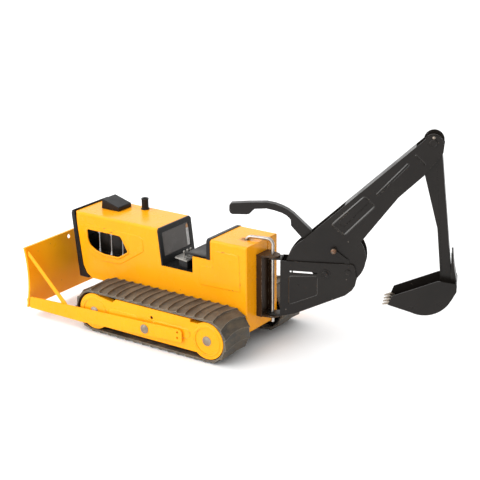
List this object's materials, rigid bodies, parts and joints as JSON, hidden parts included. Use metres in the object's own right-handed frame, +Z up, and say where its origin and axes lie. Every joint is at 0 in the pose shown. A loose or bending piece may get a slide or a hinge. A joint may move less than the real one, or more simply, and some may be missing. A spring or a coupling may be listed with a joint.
{
  "type": "toy crawler dozer with backhoe",
  "caption": "Pressed-steel toy crawler dozer with rubber tracks, a lifting front blade and a swinging lever-worked backhoe.",
  "frame": {"origin": "on the ground, on the body's centreline, midway between the two axles", "axes": "+X forwards towards the blade, +Y towards the left-hand track, +Z up from the ground"},
  "size_m": [0.627, 0.236, 0.3279],
  "materials": {
    "yellow_enamel": "gloss enamel on pressed steel",
    "black_enamel": "satin enamel on pressed steel",
    "black_plastic": "moulded, semi-gloss",
    "rubber": "matte, dusty",
    "bare_steel": "dull bare steel",
    "zinc": "dull zinc plate",
    "bright_metal": "bright plate"
  },
  "bodies": {
    "vehicle": {"body_shell": "yellow_enamel", "grille_frame": "black_plastic", "grille_bars": "black_plastic", "air_cleaner_cowl": "black_plastic", "exhaust_stack": "black_plastic", "engine_block": "black_enamel", "engine_rods": "bright_metal", "cab_tub": "black_plastic", "windshield_frame": "black_plastic", "windshield_pane": "black_plastic", "seat": "black_plastic", "control_console": "bare_steel", "console_levers": "bare_steel", "rear_trim": "black_plastic", "chassis_plate": "black_enamel", "left_side_frame": "yellow_enamel", "right_side_frame": "yellow_enamel", "front_axle": "bare_steel", "rear_axle": "bare_steel", "axle_caps": "zinc", "left_track": "rubber", "right_track": "rubber", "blade_pivot_pins": "zinc", "swing_bracket": "black_enamel", "swing_pin": "bare_steel"},
    "front_left_wheel": {"front_left_wheel": "black_plastic"},
    "front_right_wheel": {"front_right_wheel": "black_plastic"},
    "rear_left_wheel": {"rear_left_wheel": "black_plastic"},
    "rear_right_wheel": {"rear_right_wheel": "black_plastic"},
    "blade_assembly": {"blade": "yellow_enamel", "left_push_arm": "yellow_enamel", "right_push_arm": "yellow_enamel", "left_strut": "yellow_enamel", "right_strut": "yellow_enamel"},
    "backhoe_base": {"tower": "black_enamel", "boom_pin": "black_enamel"},
    "latch_lever": {"latch_lever": "bare_steel", "latch_knob": "bare_steel"},
    "boom": {"boom": "black_enamel", "dipper_pin": "black_enamel"},
    "control_handle": {"control_handle": "black_enamel"},
    "link_rod": {"link_rod": "bare_steel"},
    "dipper": {"dipper": "black_enamel", "bucket_pin": "bare_steel"},
    "bucket": {"bucket": "black_enamel", "bucket_teeth": "bare_steel"}
  },
  "joints": [
    {"name": "front_left_wheel_spin", "type": "hinge", "parent": "vehicle", "child": "front_left_wheel", "pos_m": [0.1025, 0.073, 0.034], "axis": [0, 1, 0], "continuous": true},
    {"name": "rear_left_wheel_spin", "type": "hinge", "parent": "vehicle", "child": "rear_left_wheel", "pos_m": [-0.1025, 0.073, 0.034], "axis": [0, 1, 0], "continuous": true},
    {"name": "front_right_wheel_spin", "type": "hinge", "parent": "vehicle", "child": "front_right_wheel", "pos_m": [0.1025, -0.073, 0.034], "axis": [0, 1, 0], "continuous": true},
    {"name": "rear_right_wheel_spin", "type": "hinge", "parent": "vehicle", "child": "rear_right_wheel", "pos_m": [-0.1025, -0.073, 0.034], "axis": [0, 1, 0], "continuous": true},
    {"name": "blade_lift", "type": "hinge", "parent": "vehicle", "child": "blade_assembly", "pos_m": [0.0048, 0, 0.0295], "axis": [0, -1, 0], "range_deg": [-3, 15]},
    {"name": "backhoe_swing", "type": "hinge", "parent": "vehicle", "child": "backhoe_base", "pos_m": [-0.145, 0, 0.1], "axis": [0, 0, 1], "range_deg": [-83, 36]},
    {"name": "latch_lever_turn", "type": "hinge", "parent": "backhoe_base", "child": "latch_lever", "pos_m": [-0.24472, -0.04377, 0.125], "axis": [-0.4019, 0.9157, 0], "range_deg": [-30, 20]},
    {"name": "boom_lift", "type": "hinge", "parent": "backhoe_base", "child": "boom", "pos_m": [-0.21523, -0.03083, 0.12], "axis": [-0.4019, 0.9157, 0], "range_deg": [-38, 8]},
    {"name": "handle_push", "type": "hinge", "parent": "boom", "child": "control_handle", "pos_m": [-0.21523, -0.03083, 0.12], "axis": [-0.4019, 0.9157, 0], "range_deg": [-34, 6]},
    {"name": "dipper_swing", "type": "hinge", "parent": "boom", "child": "dipper", "pos_m": [-0.34571, -0.08811, 0.31399], "axis": [-0.4019, 0.9157, 0], "range_deg": [-9, 51]},
    {"name": "link_slide", "type": "slide", "parent": "boom", "child": "link_rod", "axis": [-0.5421, -0.238, 0.8059], "range_m": [-0.0016, 0.009]},
    {"name": "bucket_curl", "type": "hinge", "parent": "dipper", "child": "bucket", "pos_m": [-0.36646, -0.09721, 0.11195], "axis": [-0.4019, 0.9157, 0], "range_deg": [-60, 2]}
  ],
  "couplings": [
    {"joint": "rear_left_wheel_spin", "follows": "front_left_wheel_spin", "ratio": 1},
    {"joint": "rear_right_wheel_spin", "follows": "front_right_wheel_spin", "ratio": 1},
    {"joint": "dipper_swing", "follows": "handle_push", "ratio": -1.5},
    {"joint": "link_slide", "follows": "handle_push", "m_per_rad": -0.015}
  ]
}
